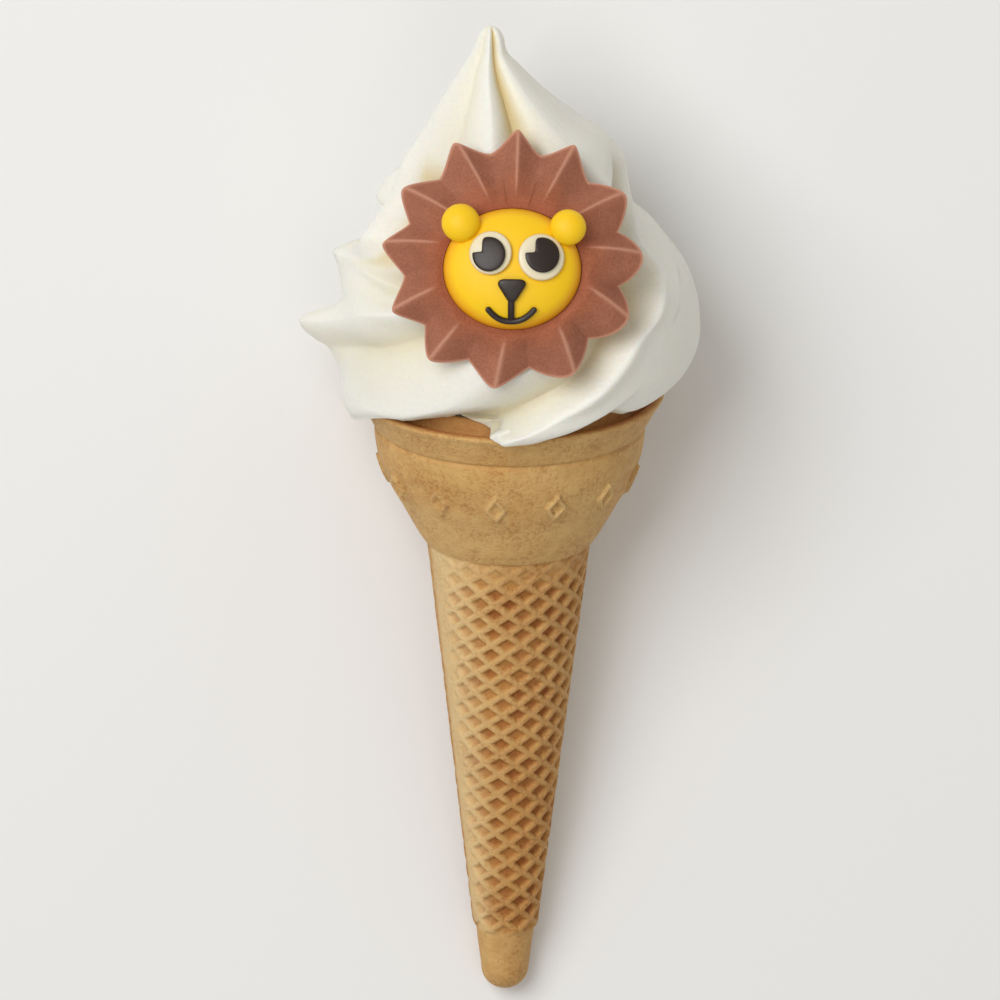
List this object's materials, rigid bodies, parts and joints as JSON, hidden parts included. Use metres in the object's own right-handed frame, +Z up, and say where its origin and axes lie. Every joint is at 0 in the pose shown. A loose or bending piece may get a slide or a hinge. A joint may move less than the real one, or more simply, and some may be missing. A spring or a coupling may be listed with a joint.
{
  "type": "soft serve cone",
  "caption": "Piped soft serve swirl in a moulded wafer cone with a waffle-patterned stem, a sugar animal face with a spiky mane pressed into its front, lying on its back.",
  "frame": {"origin": "centre of the bounding box's footprint, on the surface that the cone lies on", "axes": "+Y runs from the cone's tip to the peak of the swirl in plan, +Z points up out of the shown side, +X to the right as the face looks out"},
  "size_m": [0.076, 0.1906, 0.0731],
  "materials": {
    "wafer": "baked, dry, matte",
    "ice_cream": "smooth frozen cream, soft sheen",
    "brown_sugar_paste": "dry matte sugar",
    "yellow_sugar_paste": "smooth icing, soft sheen",
    "cream_icing": "smooth icing",
    "dark_icing": "smooth icing, soft sheen"
  },
  "bodies": {
    "root": {"wafer_cone": "wafer", "ice_cream_swirl": "ice_cream", "mane": "brown_sugar_paste", "head": "yellow_sugar_paste", "ear_left": "yellow_sugar_paste", "ear_right": "yellow_sugar_paste", "eye_white_left": "cream_icing", "eye_white_right": "cream_icing", "pupil_left": "dark_icing", "pupil_right": "dark_icing", "nose_and_mouth": "dark_icing"}
  },
  "joints": []
}
